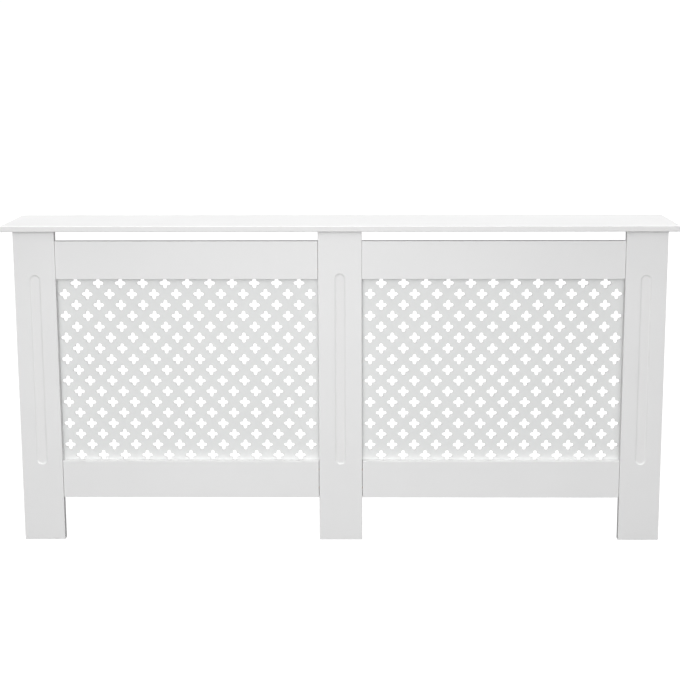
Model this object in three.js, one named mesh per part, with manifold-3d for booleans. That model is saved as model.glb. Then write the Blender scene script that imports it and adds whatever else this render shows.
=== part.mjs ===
// Radiator cover cabinet: a painted fibreboard housing that stands over a wall
// radiator. Three fluted front legs and four rails frame two pierced screens; two
// side panels run back to the wall and a shelf lies on top. The back and the
// bottom are open. Millimetres, +Z up, front faces -Y, wall plane at +Y.
// Origin: middle of the footprint, on the floor.
import * as THREE from 'three';
import { mergeVertices } from 'three/addons/utils/BufferGeometryUtils.js';
import Module from 'manifold-3d';

const wasm = await Module();
wasm.setup();

// ---------------------------------------------------------------- dimensions
const WIDTH = 1720; // over the shelf
const DEPTH = 190; // over the shelf, front edge to wall
const HEIGHT = 840; // floor to shelf top
const BOARD = 15; // shelf, sides, legs and rails
const FRONT_OVERHANG = 18; // shelf past the legs' faces
const SIDE_OVERHANG = 26; // shelf past the side panels

const END_LEG_W = 106;
const CENTRE_LEG_W = 112;
const RAIL_SETBACK = 3; // rail face behind leg face
const RAIL_H = 99;
const TOP_RAIL_Z = 699; // underside of the top rails
const BOTTOM_RAIL_Z = 115; // underside of the bottom rails

const FLUTE_W = 27.2; // at the leg's face
const FLUTE_DEPTH = 2;
const FLUTE_WALL = 5; // width of each curved wall
const FLUTE_Z0 = 205.8;
const FLUTE_Z1_CENTRE = 714.6; // upper end on the centre leg
const FLUTE_Z1_END = 710.6; // upper end on the end legs

const SCREEN_T = 4; // pierced screen
const SCREEN_LAP = 30; // screen behind each rail
const SCREEN_SIDE_LAP = 15; // screen behind each leg
const HALF_PITCH = 28.8; // rows and columns of crosses, staggered
const CROSS_TIP = 14; // centre to tip of an arm
const CROSS_NOTCH = 6.4; // centre to inner corner, along x and z
const CROSS_ROWS = 17;
const CROSS_COLUMNS = 12; // in a full row; every other row has one less
const LATTICE_X = 394; // middle of each lattice from the cabinet's middle
const LATTICE_Z = 455; // middle row

const SKIRTING_H = 120; // notch that clears a skirting board
const SKIRTING_D = 20;

const DOWEL_R = 3;
const DOWEL_L = 29;
const DOWEL_BORE_R = 3.2;
const DOWEL_BORE_L = 15;
const DOWEL_Y = -68;
const DOWEL_INSET = 25; // dowel from a rail's long edge

const CAM_R = 7.2;
const CAM_L = 11.7;
const CAM_BORE_R = 7.5;
const CAM_BORE_L = 12;
const CAM_SETBACK = 24; // cam centre from the joint face
const CAM_BOLT_BORE_R = 4; // clearance bore from the edge to the cam
const THREAD_R = 2.5;
const THREAD_BORE_R = 2.8;
const THREAD_L = 11;
const THREAD_BORE_L = 11.6;

const SCREW_R = 1.6;
const SCREW_L = 12;
const SCREW_HEAD_R = 3.4;
const SCREW_HEAD_T = 2;
const PILOT_R = 1.9;
const SCREW_CLEAR_R = 2.2;

const BRACKET_LEG = 30;
const BRACKET_T = 2;
const BRACKET_W = 18;
const BRACKET_HOLE = 18; // hole from the bracket's corner
const WALL_BRACKET_X = 500;

// ------------------------------------------------------------ derived planes
const Y_WALL = DEPTH / 2; // 95
const Y_SHELF = -DEPTH / 2; // -95
const Y_LEG = Y_SHELF + FRONT_OVERHANG; // -77, leg face
const Y_LEG_BACK = Y_LEG + BOARD; // -62
const Y_RAIL = Y_LEG + RAIL_SETBACK; // -74, rail face
const Y_RAIL_BACK = Y_RAIL + BOARD; // -59
const Y_SCREEN_BACK = Y_RAIL_BACK + SCREEN_T; // -55
const Z_SHELF = HEIGHT - BOARD; // 825, underside of the shelf
const X_OUT = WIDTH / 2 - SIDE_OVERHANG; // 834, outer face of a side
const X_SIDE = X_OUT - BOARD; // 819, inner face of a side
const X_LEG = X_OUT - END_LEG_W; // 728, inner edge of an end leg
const X_MID = CENTRE_LEG_W / 2; // 56, edge of the centre leg
const X_BOLT = X_SIDE + BOARD / 2; // 826.5, middle of a side panel

// ----------------------------------------------------------------- materials
const finish = (color, roughness, metalness) =>
  new THREE.MeshStandardMaterial({ color, roughness, metalness });
const PAINT = 0xf1f1f0;
const SCREEN_PAINT = 0xe9ebea;
const BEECH = 0xd9bd92;
const ZINC = 0xb4b7ba;
const STEEL = 0xc6c9cc;

// ------------------------------------------------------------------- helpers
// Shared vertices, no slivers with a repeated corner, faces pointing out.
function clean(geometry) {
  const g = geometry.clone();
  for (const name of Object.keys(g.attributes)) {
    if (name !== 'position') g.deleteAttribute(name);
  }
  const merged = mergeVertices(g, 1e-4);
  const p = merged.attributes.position;
  const index = merged.index.array;
  const tris = [];
  let volume = 0;
  const a = new THREE.Vector3();
  const b = new THREE.Vector3();
  const c = new THREE.Vector3();
  for (let i = 0; i < index.length; i += 3) {
    const [u, v, w] = [index[i], index[i + 1], index[i + 2]];
    if (u === v || v === w || w === u) continue;
    tris.push(u, v, w);
    a.fromBufferAttribute(p, u);
    b.fromBufferAttribute(p, v);
    c.fromBufferAttribute(p, w);
    volume += a.dot(b.cross(c)) / 6;
  }
  if (volume < 0) {
    for (let i = 0; i < tris.length; i += 3) {
      [tris[i + 1], tris[i + 2]] = [tris[i + 2], tris[i + 1]];
    }
  }
  return { positions: new Float32Array(p.array), tris: new Uint32Array(tris) };
}

function solid(geometry) {
  const { positions, tris } = clean(geometry);
  return new wasm.Manifold(
    new wasm.Mesh({ numProp: 3, vertProperties: positions, triVerts: tris })
  );
}

function toGeometry(positions, tris) {
  const g = new THREE.BufferGeometry();
  g.setAttribute('position', new THREE.BufferAttribute(positions, 3));
  g.setIndex(new THREE.BufferAttribute(tris, 1));
  g.computeVertexNormals();
  return g;
}

function fromSolid(manifold) {
  const m = manifold.getMesh();
  return toGeometry(new Float32Array(m.vertProperties), new Uint32Array(m.triVerts));
}

function fromShape(geometry) {
  const { positions, tris } = clean(geometry);
  return toGeometry(positions, tris);
}

// Box between two corners.
function block(x0, y0, z0, x1, y1, z1) {
  const g = new THREE.BoxGeometry(x1 - x0, y1 - y0, z1 - z0);
  g.translate((x0 + x1) / 2, (y0 + y1) / 2, (z0 + z1) / 2);
  return g;
}

// Round bar from a point, length l along an axis: 'x', 'y' or 'z' (l may be negative).
function bar(radius, x, y, z, axis, l, sides = 8) {
  const g = new THREE.CylinderGeometry(radius, radius, Math.abs(l), sides);
  if (axis === 'x') g.rotateZ(Math.PI / 2);
  if (axis === 'z') g.rotateX(Math.PI / 2);
  const d = { x: [l / 2, 0, 0], y: [0, l / 2, 0], z: [0, 0, l / 2] }[axis];
  g.translate(x + d[0], y + d[1], z + d[2]);
  return g;
}

// Turned piece from [radius, z] points, its axis along Z.
function turned(points, sides = 8) {
  const g = new THREE.LatheGeometry(
    points.map(([r, z]) => new THREE.Vector2(r, z)),
    sides
  );
  g.rotateX(Math.PI / 2);
  return g;
}

function cut(body, tools) {
  let s = solid(body);
  for (const t of tools) s = s.subtract(t.subtract ? t : solid(t));
  return s;
}

const cabinet = new THREE.Group();
const carcass = new THREE.Group();
const frontFrame = new THREE.Group();
const screens = new THREE.Group();
const fittings = new THREE.Group();
cabinet.add(carcass, frontFrame, screens, fittings);

function place(group, name, geometry, material, x = 0, y = 0, z = 0) {
  const mesh = new THREE.Mesh(geometry, material);
  mesh.name = name;
  mesh.position.set(x, y, z);
  group.add(mesh);
  return mesh;
}

// --------------------------------------------------------------------- shelf
// Underside takes the cam bolts over the side panels and the brackets' screws.
const SHELF_CAM_Y = [-5, 62];
const SIDE_CAM_Z = [150, 650];
{
  const pockets = [];
  for (const s of [-1, 1]) {
    for (const y of SHELF_CAM_Y) {
      pockets.push(bar(THREAD_BORE_R, s * X_BOLT, y, -1, 'z', THREAD_BORE_L + 1));
    }
    pockets.push(
      bar(PILOT_R, s * WALL_BRACKET_X, Y_WALL - BRACKET_HOLE, -1, 'z', SCREW_L - BRACKET_T + 1.6)
    );
  }
  pockets.push(bar(PILOT_R, 0, Y_LEG_BACK + BRACKET_HOLE, -1, 'z', SCREW_L - BRACKET_T + 1.6));
  const board = block(-WIDTH / 2, Y_SHELF, 0, WIDTH / 2, Y_WALL, BOARD);
  place(carcass, 'top_shelf', fromSolid(cut(board, pockets)), finish(PAINT, 0.42, 0), 0, 0, Z_SHELF);
}

// --------------------------------------------------------------- side panels
// Upright boards with a notch at the foot of the wall edge for the skirting board.
function sidePanel(s) {
  const outline = new THREE.Shape();
  const back = Y_WALL - Y_LEG_BACK;
  outline.moveTo(0, 0);
  outline.lineTo(back - SKIRTING_D, 0);
  outline.lineTo(back - SKIRTING_D, SKIRTING_H);
  outline.lineTo(back, SKIRTING_H);
  outline.lineTo(back, Z_SHELF);
  outline.lineTo(0, Z_SHELF);
  outline.closePath();
  const g = new THREE.ExtrudeGeometry(outline, { depth: BOARD, bevelEnabled: false });
  // shape x -> +Y, shape y -> +Z, thickness -> +X
  g.rotateX(Math.PI / 2);
  g.rotateZ(Math.PI / 2);
  g.translate(s > 0 ? X_SIDE : -X_OUT, Y_LEG_BACK, 0);
  const inner = s * X_SIDE;
  const tools = [];
  for (const y of SHELF_CAM_Y) {
    tools.push(bar(CAM_BORE_R, inner - s, y, Z_SHELF - CAM_SETBACK, 'x', s * (CAM_BORE_L + 1), 16));
    tools.push(bar(CAM_BOLT_BORE_R, s * X_BOLT, y, Z_SHELF + 1, 'z', -(CAM_SETBACK + 1)));
  }
  for (const z of SIDE_CAM_Z) {
    tools.push(bar(CAM_BORE_R, inner - s, Y_LEG_BACK + CAM_SETBACK, z, 'x', s * (CAM_BORE_L + 1), 16));
    tools.push(bar(CAM_BOLT_BORE_R, s * X_BOLT, Y_LEG_BACK - 1, z, 'y', CAM_SETBACK + 1));
  }
  return fromSolid(cut(g, tools));
}
place(carcass, 'side_panel_left', sidePanel(-1), finish(PAINT, 0.42, 0));
place(carcass, 'side_panel_right', sidePanel(1), finish(PAINT, 0.42, 0));

// ---------------------------------------------------------------------- legs
// The flute is a shallow channel with a flat floor, curved walls and half-round ends.
// Its wall is the lower part of a quarter ellipse, so the cutter stands out of the face.
const FLUTE_RISE = 4; // height of the whole quarter ellipse
const FLUTE_SPREAD = FLUTE_WALL / Math.sin(Math.acos(1 - FLUTE_DEPTH / FLUTE_RISE));
function fluteCutter(zEnd) {
  const half = FLUTE_W / 2 - FLUTE_WALL; // floor
  const z0 = FLUTE_Z0 + FLUTE_W / 2;
  const z1 = zEnd - FLUTE_W / 2;
  const floor = new THREE.Shape();
  floor.moveTo(half, z0);
  floor.lineTo(half, z1);
  floor.absarc(0, z1, half, 0, Math.PI, false);
  floor.lineTo(-half, z0);
  floor.absarc(0, z0, half, Math.PI, 2 * Math.PI, false);
  const g = new THREE.ExtrudeGeometry(floor, {
    depth: 0.5,
    curveSegments: 8,
    bevelThickness: FLUTE_RISE,
    bevelSize: FLUTE_SPREAD,
    bevelSegments: 4,
  });
  g.rotateX(Math.PI / 2); // shape y -> +Z, thickness -> -Y
  g.translate(0, FLUTE_DEPTH - FLUTE_RISE, 0);
  return g;
}
const railDowelZ = [];
for (const z of [BOTTOM_RAIL_Z, TOP_RAIL_Z]) {
  railDowelZ.push(z + DOWEL_INSET, z + RAIL_H - DOWEL_INSET);
}
// Leg in its own frame: x from its middle, y from its face, z from the floor.
function leg(width, fluteTop, edges, backTools) {
  const tools = [fluteCutter(fluteTop)];
  for (const e of edges) {
    for (const z of railDowelZ) {
      tools.push(
        bar(DOWEL_BORE_R, (e * width) / 2 + e, DOWEL_Y - Y_LEG, z, 'x', -e * (DOWEL_BORE_L + 1))
      );
    }
  }
  tools.push(...backTools);
  return fromSolid(cut(block(-width / 2, 0, 0, width / 2, BOARD, Z_SHELF), tools));
}
for (const [name, s] of [['end_leg_left', -1], ['end_leg_right', 1]]) {
  const x = s * (X_OUT - END_LEG_W / 2);
  const bores = SIDE_CAM_Z.map((z) =>
    bar(THREAD_BORE_R, s * X_BOLT - x, BOARD + 1, z, 'y', -(THREAD_BORE_L + 1))
  );
  place(frontFrame, name, leg(END_LEG_W, FLUTE_Z1_END, [-s], bores), finish(PAINT, 0.42, 0),
    x, Y_LEG, 0);
}
place(
  frontFrame,
  'centre_leg',
  leg(CENTRE_LEG_W, FLUTE_Z1_CENTRE, [-1, 1], [
    bar(PILOT_R, 0, BOARD + 1, Z_SHELF - BRACKET_HOLE, 'y', -(SCREW_L - BRACKET_T + 1.6)),
  ]),
  finish(PAINT, 0.42, 0),
  0,
  Y_LEG,
  0
);

// --------------------------------------------------------------------- rails
const RAIL_L = X_LEG - X_MID; // 672
const SCREW_X = [-RAIL_L / 2 + 40, RAIL_L / 2 - 40];
function rail(screwZ) {
  const tools = [];
  for (const e of [-1, 1]) {
    for (const z of [DOWEL_INSET, RAIL_H - DOWEL_INSET]) {
      tools.push(
        bar(DOWEL_BORE_R, e * (RAIL_L / 2 + 1), DOWEL_Y - Y_RAIL, z, 'x', -e * (DOWEL_BORE_L + 1))
      );
    }
  }
  for (const x of SCREW_X) {
    tools.push(bar(PILOT_R, x, BOARD + 1, screwZ, 'y', -(SCREW_L - SCREEN_T + 1.6)));
  }
  return fromSolid(cut(block(-RAIL_L / 2, 0, 0, RAIL_L / 2, BOARD, RAIL_H), tools));
}
const X_RAIL = (X_LEG + X_MID) / 2; // 392
for (const [side, s] of [['left', -1], ['right', 1]]) {
  place(frontFrame, `top_rail_${side}`, rail(SCREEN_LAP / 2), finish(PAINT, 0.42, 0),
    s * X_RAIL, Y_RAIL, TOP_RAIL_Z);
  place(frontFrame, `bottom_rail_${side}`, rail(RAIL_H - SCREEN_LAP / 2), finish(PAINT, 0.42, 0),
    s * X_RAIL, Y_RAIL, BOTTOM_RAIL_Z);
}

// ------------------------------------------------------------------- screens
// Thin boards behind the rails, pierced with staggered four-armed crosses.
const SCREEN_Z0 = BOTTOM_RAIL_Z + RAIL_H - SCREEN_LAP; // 184
const SCREEN_Z1 = TOP_RAIL_Z + SCREEN_LAP; // 729
const SCREEN_X0 = X_MID - SCREEN_SIDE_LAP; // 41
const SCREEN_X1 = X_LEG + SCREEN_SIDE_LAP; // 743
const SCREW_Z = [SCREEN_Z0 + SCREEN_LAP / 2, SCREEN_Z1 - SCREEN_LAP / 2];
function ring(cx, cz, radii, n) {
  const hole = new THREE.Path();
  for (let k = 0; k < n; k++) {
    const r = radii[k % radii.length];
    const a = (-k * 2 * Math.PI) / n;
    const x = cx + r * Math.cos(a);
    const z = cz + r * Math.sin(a);
    if (k === 0) hole.moveTo(x, z);
    else hole.lineTo(x, z);
  }
  hole.closePath();
  return hole;
}
function screen(s) {
  const [x0, x1] = s > 0 ? [SCREEN_X0, SCREEN_X1] : [-SCREEN_X1, -SCREEN_X0];
  const board = new THREE.Shape();
  board.moveTo(x0, SCREEN_Z0);
  board.lineTo(x1, SCREEN_Z0);
  board.lineTo(x1, SCREEN_Z1);
  board.lineTo(x0, SCREEN_Z1);
  board.closePath();
  const cross = [CROSS_TIP, CROSS_NOTCH * Math.SQRT2];
  for (let row = 0; row < CROSS_ROWS; row++) {
    const full = row % 2 === 1;
    const n = full ? CROSS_COLUMNS : CROSS_COLUMNS - 1;
    const z = LATTICE_Z + ((CROSS_ROWS - 1) / 2 - row) * HALF_PITCH;
    for (let k = 0; k < n; k++) {
      const x = s * LATTICE_X + (k - (n - 1) / 2) * 2 * HALF_PITCH;
      board.holes.push(ring(x, z, cross, 8));
    }
  }
  for (const x of SCREW_X) {
    for (const z of SCREW_Z) board.holes.push(ring(s * X_RAIL + x, z, [SCREW_CLEAR_R], 8));
  }
  const g = new THREE.ExtrudeGeometry(board, { depth: SCREEN_T, bevelEnabled: false });
  g.rotateX(Math.PI / 2); // shape y -> +Z, thickness -> -Y
  return fromShape(g);
}
place(screens, 'screen_left', screen(-1), finish(SCREEN_PAINT, 0.45, 0), 0, Y_SCREEN_BACK, 0);
place(screens, 'screen_right', screen(1), finish(SCREEN_PAINT, 0.45, 0), 0, Y_SCREEN_BACK, 0);

// ------------------------------------------------------------------ fittings
// Beech dowels, glued into the rails' ends and the legs' edges.
const dowel = fromShape(
  turned([[0, -DOWEL_L / 2], [DOWEL_R, -DOWEL_L / 2], [DOWEL_R, DOWEL_L / 2], [0, DOWEL_L / 2]])
);
for (const [side, s] of [['left', -1], ['right', 1]]) {
  for (const [end, x] of [['outer', X_LEG], ['inner', X_MID]]) {
    railDowelZ.forEach((z, i) => {
      const which = ['bottom_rail_a', 'bottom_rail_b', 'top_rail_a', 'top_rail_b'][i];
      const d = place(fittings, `dowel_${side}_${end}_${which}`, dowel, finish(BEECH, 0.7, 0),
        s * x, DOWEL_Y, z);
      d.rotation.y = Math.PI / 2;
    });
  }
}

// Cam locks: zinc discs in the side panels, pocketed for the bolt's head.
// dir [y, z] points along the bolt towards the joint face.
function cam(s, dir) {
  const [dy, dz] = dir;
  const box = (xa, xb, a0, a1, half) => {
    // a along dir, half across it
    const y0 = dy ? Math.min(dy * a0, dy * a1) : -half;
    const y1 = dy ? Math.max(dy * a0, dy * a1) : half;
    const z0 = dz ? Math.min(dz * a0, dz * a1) : -half;
    const z1 = dz ? Math.max(dz * a0, dz * a1) : half;
    return block(Math.min(s * xa, s * xb), y0, z0, Math.max(s * xa, s * xb), y1, z1);
  };
  return fromSolid(
    cut(bar(CAM_R, 0, 0, 0, 'x', s * CAM_L, 16), [
      box(3.4, CAM_L + 1, -3, CAM_R + 1, 4),
      box(-1, 1.6, -4.6, 4.6, 0.8),
      box(-1, 1.6, -0.8, 0.8, 4.6),
    ])
  );
}
// Cam bolts: coarse thread, collar, neck and ball head.
const camBolt = fromShape(
  turned([[0, THREAD_L], [THREAD_R, THREAD_L - 1.5], [THREAD_R, 0], [3.6, 0], [3.6, -2.5],
    [2, -2.5], [2, -20], [3.2, -21.5], [3.2, -24.5], [0, -25.5]])
);
for (const [side, s] of [['left', -1], ['right', 1]]) {
  for (const [where, y] of [['front', SHELF_CAM_Y[0]], ['back', SHELF_CAM_Y[1]]]) {
    place(fittings, `cam_lock_shelf_${side}_${where}`, cam(s, [0, 1]), finish(ZINC, 0.4, 0.9),
      s * X_SIDE, y, Z_SHELF - CAM_SETBACK);
    place(fittings, `cam_bolt_shelf_${side}_${where}`, camBolt, finish(STEEL, 0.3, 1),
      s * X_BOLT, y, Z_SHELF);
  }
  for (const [where, z] of [['lower', SIDE_CAM_Z[0]], ['upper', SIDE_CAM_Z[1]]]) {
    place(fittings, `cam_lock_leg_${side}_${where}`, cam(s, [-1, 0]), finish(ZINC, 0.4, 0.9),
      s * X_SIDE, Y_LEG_BACK + CAM_SETBACK, z);
    const b = place(fittings, `cam_bolt_leg_${side}_${where}`, camBolt, finish(STEEL, 0.3, 1),
      s * X_BOLT, Y_LEG_BACK, z);
    b.rotation.x = Math.PI / 2;
  }
}

// Pan-head screws: z = 0 is under the head, the point is at +Z.
const screw = fromShape(
  turned([[0, -SCREW_HEAD_T], [SCREW_HEAD_R - 0.5, -1.2], [SCREW_HEAD_R, 0],
    [SCREW_R, 0], [SCREW_R, SCREW_L - 2.5], [0, SCREW_L]])
);
for (const [side, s] of [['left', -1], ['right', 1]]) {
  for (const [row, z] of [['bottom', SCREW_Z[0]], ['top', SCREW_Z[1]]]) {
    for (const [end, x] of [['inner', -s * (RAIL_L / 2 - 40)], ['outer', s * (RAIL_L / 2 - 40)]]) {
      const m = place(fittings, `screen_screw_${side}_${row}_${end}`, screw, finish(STEEL, 0.35, 1),
        s * X_RAIL + x, Y_SCREEN_BACK, z);
      m.rotation.x = Math.PI / 2;
    }
  }
}

// Angle brackets: one ties the centre leg to the shelf, two fix the shelf to the wall.
function bracket() {
  const l = BRACKET_LEG;
  const t = BRACKET_T;
  const r = 2.5;
  const profile = new THREE.Shape();
  profile.moveTo(r, 0);
  profile.lineTo(l, 0);
  profile.lineTo(l, -t);
  profile.lineTo(t + 1, -t);
  profile.lineTo(t, -t - 1);
  profile.lineTo(t, -l);
  profile.lineTo(0, -l);
  profile.lineTo(0, -r);
  profile.absarc(r, -r, r, Math.PI, Math.PI / 2, true);
  const g = new THREE.ExtrudeGeometry(profile, { depth: BRACKET_W, bevelEnabled: false, curveSegments: 3 });
  // shape x -> +Y, shape y -> +Z, width -> X
  g.rotateX(Math.PI / 2);
  g.rotateZ(Math.PI / 2);
  g.translate(-BRACKET_W / 2, 0, 0);
  return fromSolid(
    cut(g, [
      bar(SCREW_CLEAR_R, 0, BRACKET_HOLE, 1, 'z', -t - 2),
      bar(SCREW_CLEAR_R, 0, -1, -BRACKET_HOLE, 'y', t + 2),
    ])
  );
}
const angle = bracket();
place(fittings, 'centre_bracket', angle, finish(STEEL, 0.35, 1), 0, Y_LEG_BACK, Z_SHELF);
{
  const m = place(fittings, 'centre_bracket_leg_screw', screw, finish(STEEL, 0.35, 1),
    0, Y_LEG_BACK + BRACKET_T, Z_SHELF - BRACKET_HOLE);
  m.rotation.x = Math.PI / 2;
  place(fittings, 'centre_bracket_shelf_screw', screw, finish(STEEL, 0.35, 1),
    0, Y_LEG_BACK + BRACKET_HOLE, Z_SHELF - BRACKET_T);
}
for (const [side, s] of [['left', -1], ['right', 1]]) {
  const m = place(fittings, `wall_bracket_${side}`, angle, finish(STEEL, 0.35, 1),
    s * WALL_BRACKET_X, Y_WALL, Z_SHELF);
  m.rotation.z = Math.PI;
  place(fittings, `wall_bracket_screw_${side}`, screw, finish(STEEL, 0.35, 1),
    s * WALL_BRACKET_X, Y_WALL - BRACKET_HOLE, Z_SHELF - BRACKET_T);
}

export default cabinet;
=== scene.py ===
import math

import bmesh
import bpy
import numpy as np
from mathutils import Matrix, Vector
from mathutils.geometry import delaunay_2d_cdt


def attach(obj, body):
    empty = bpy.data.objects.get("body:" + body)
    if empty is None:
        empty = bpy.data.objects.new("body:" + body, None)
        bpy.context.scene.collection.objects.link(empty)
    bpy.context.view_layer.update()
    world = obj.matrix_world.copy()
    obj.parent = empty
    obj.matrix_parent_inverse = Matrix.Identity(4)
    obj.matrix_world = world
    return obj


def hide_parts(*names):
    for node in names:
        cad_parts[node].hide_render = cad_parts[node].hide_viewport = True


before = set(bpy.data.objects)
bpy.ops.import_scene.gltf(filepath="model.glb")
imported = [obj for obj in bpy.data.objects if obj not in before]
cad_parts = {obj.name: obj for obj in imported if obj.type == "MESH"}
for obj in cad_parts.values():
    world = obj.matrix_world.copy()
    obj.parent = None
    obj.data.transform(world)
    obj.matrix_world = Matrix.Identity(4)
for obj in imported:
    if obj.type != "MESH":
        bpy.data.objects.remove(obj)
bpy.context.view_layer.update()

# Radiator cover cabinet: sprayed fibreboard, fluted legs, rails, pierced screens, side
# panels and a shelf, with dowels, cam fittings, screws and angle brackets inside.
# Lengths below are in millimetres and become metres when a mesh is made.
MM = 0.001

# ------------------------------------------------------------------ dimensions
BOARD = 15.0
WIDTH, DEPTH, HEIGHT = 1720.0, 190.0, 840.0
Y_WALL, Y_SHELF = 95.0, -95.0
Y_LEG, Y_LEG_BACK = -77.0, -62.0
Y_RAIL, Y_RAIL_BACK = -74.0, -59.0
Y_SCREEN_BACK = -55.0
Z_SHELF = 825.0
X_OUT, X_SIDE, X_LEG, X_MID, X_BOLT = 834.0, 819.0, 728.0, 56.0, 826.5
RAIL_L, RAIL_H = 672.0, 99.0
X_RAIL = 392.0
TOP_RAIL_Z, BOTTOM_RAIL_Z = 699.0, 115.0
RAIL_DOWEL_Z = (140.0, 189.0, 724.0, 773.0)
DOWEL_Y, DOWEL_L, DOWEL_R = -68.0, 29.0, 3.0
FLUTE_W, FLUTE_Z0, FLUTE_TOP_END, FLUTE_TOP_CENTRE = 28.0, 205.4, 711.0, 715.0
SCREEN_T, SCREEN_Z0, SCREEN_Z1 = 4.0, 184.0, 729.0
SCREEN_X0, SCREEN_X1 = 41.0, 743.0
HALF_PITCH, CROSS_TIP, ARM = 28.8, 14.0, 5.0
LATTICE_X, LATTICE_Z = 394.0, 455.0
SCREW_X = 296.0
SCREW_Z = (199.0, 714.0)
SHELF_CAM_Y, SIDE_CAM_Z, CAM_SETBACK = (-5.0, 62.0), (150.0, 650.0), 24.0
CAM_R, CAM_L = 7.2, 11.7
WALL_BRACKET_X, BRACKET_HOLE = 500.0, 18.0


# -------------------------------------------------------------- mesh building
class Build:
    """A closed mesh in the making: points, surface normals, and two masks that
    the paint reads, edge for eased corners and cut for machined surfaces."""

    def __init__(self, axes=None, origin=(0, 0, 0)):
        self.axes = np.array(axes if axes is not None else np.eye(3), float)
        self.origin = np.array(origin, float)
        self.co, self.no, self.edge, self.cut, self.faces = [], [], [], [], []

    def v(self, p, n=None, edge=0.0, cut=0.0):
        self.co.append(self.origin + np.array(p, float) @ self.axes)
        self.no.append(np.zeros(3) if n is None else np.array(n, float) @ self.axes)
        self.edge.append(edge)
        self.cut.append(cut)
        return len(self.co) - 1

    def ring(self, points, normals=None, edge=0.0, cut=0.0):
        return [
            self.v(p, None if normals is None else normals[i], edge, cut)
            for i, p in enumerate(points)
        ]

    def bridge(self, a, b):
        n = len(a)
        for i in range(n):
            j = (i + 1) % n
            self.faces.append((a[i], a[j], b[j], b[i]))

    def bore(self, centre, inward, e1, e2, radius, depth, seg=32, ease=0.25):
        """Blind round hole; returns the ring that lies on the surface."""
        c, d = np.array(centre, float), np.array(inward, float)
        e1, e2 = np.array(e1, float), np.array(e2, float)
        ang = [2 * math.pi * k / seg for k in range(seg)]
        rad = [math.cos(a) * e1 + math.sin(a) * e2 for a in ang]
        mouth = self.ring([c + (radius + ease) * r for r in rad], None, 1.0, 0.0)
        top = self.ring([c + radius * r + ease * d for r in rad], [-r for r in rad], 0.6, 1.0)
        end = self.ring([c + radius * r + depth * d for r in rad], [-r for r in rad], 0.0, 1.0)
        self.bridge(mouth, top)
        self.bridge(top, end)
        self.faces.append(tuple(end))
        return mouth

    def fill(self, loops, flat, lines=()):
        """Triangles between an outer loop and the loops inside it. flat gives the
        2-D place of each loop's points; lines are extra edges by loop and point."""
        pts, owner, ids, edges = [], [], [], []
        for k, (loop, xy) in enumerate(zip(loops, flat)):
            base = len(pts)
            n = len(loop)
            pts += [Vector((float(x), float(y))) for x, y in xy]
            ids += list(loop)
            owner += [k] * n
            edges += [(base + i, base + (i + 1) % n) for i in range(n)]
        where = {v: i for i, v in enumerate(ids)}
        edges += [(where[a], where[b]) for a, b in lines]
        out, _, tris, back, _, _ = delaunay_2d_cdt(pts, edges, [], 0, 1e-6)
        to = [b[0] for b in back]
        for t in tris:
            i = [to[k] for k in t]
            own = {owner[k] for k in i}
            if len(own) == 1:
                k = own.pop()
                x = sum(pts[j].x for j in i) / 3
                y = sum(pts[j].y for j in i) / 3
                inside = _inside(x, y, flat[k])
                if inside != (k == 0):
                    continue
            self.faces.append(tuple(ids[j] for j in i))


def _inside(x, y, loop):
    hit = False
    n = len(loop)
    for i in range(n):
        x0, y0 = loop[i][:2]
        x1, y1 = loop[(i + 1) % n][:2]
        if (y0 > y) != (y1 > y) and x < x0 + (y - y0) * (x1 - x0) / (y1 - y0):
            hit = not hit
    return hit


def rounded(corners, radius, n=3):
    """Outline through corners (anticlockwise) with a small arc at each, as points
    with the normal that points out of the board."""
    out = []
    m = len(corners)
    for i in range(m):
        p = np.array(corners[i], float)
        a = np.array(corners[i - 1], float) - p
        b = np.array(corners[(i + 1) % m], float) - p
        a, b = a / np.linalg.norm(a), b / np.linalg.norm(b)
        convex = (-a)[0] * b[1] - (-a)[1] * b[0] > 0
        half = math.acos(max(-1, min(1, float(a @ b)))) / 2
        back = radius / math.tan(half)
        centre = p + (a + b) / np.linalg.norm(a + b) * radius / math.sin(half)
        start, end = p + a * back - centre, p + b * back - centre
        t0, t1 = math.atan2(start[1], start[0]), math.atan2(end[1], end[0])
        turn = (t1 - t0 + math.pi) % (2 * math.pi) - math.pi
        for k in range(n + 1):
            t = t0 + turn * k / n
            d = np.array([math.cos(t), math.sin(t)])
            out.append((*(centre + radius * d), *(d if convex else -d)))
    return out


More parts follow.
